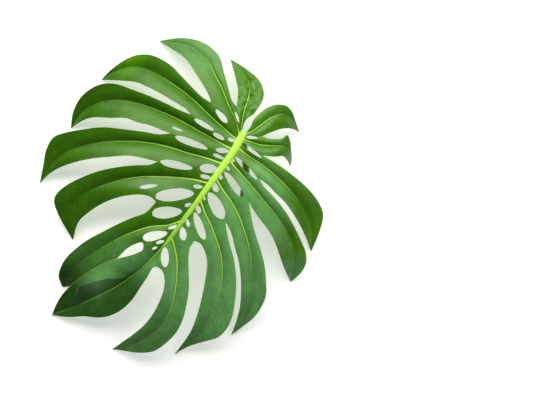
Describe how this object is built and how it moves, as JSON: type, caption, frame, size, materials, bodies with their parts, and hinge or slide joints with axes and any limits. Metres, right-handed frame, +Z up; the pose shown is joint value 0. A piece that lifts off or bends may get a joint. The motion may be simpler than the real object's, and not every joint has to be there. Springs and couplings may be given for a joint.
{
  "type": "monstera leaf",
  "caption": "Large cut monstera leaf lying face up, heart-shaped, deeply split into curved lobes, with holes along its midrib and a short cut stalk beneath.",
  "frame": {"origin": "middle of the footprint, on the surface the leaf lies on", "axes": "+Y from the stalk end towards the leaf tip, +Z up out of the upper face"},
  "size_m": [0.451, 0.5106, 0.0794],
  "materials": {
    "blade": "satin",
    "stalk": "satin"
  },
  "bodies": {
    "root": {"leaf_blade": "blade", "leaf_stalk": "stalk"}
  },
  "joints": []
}
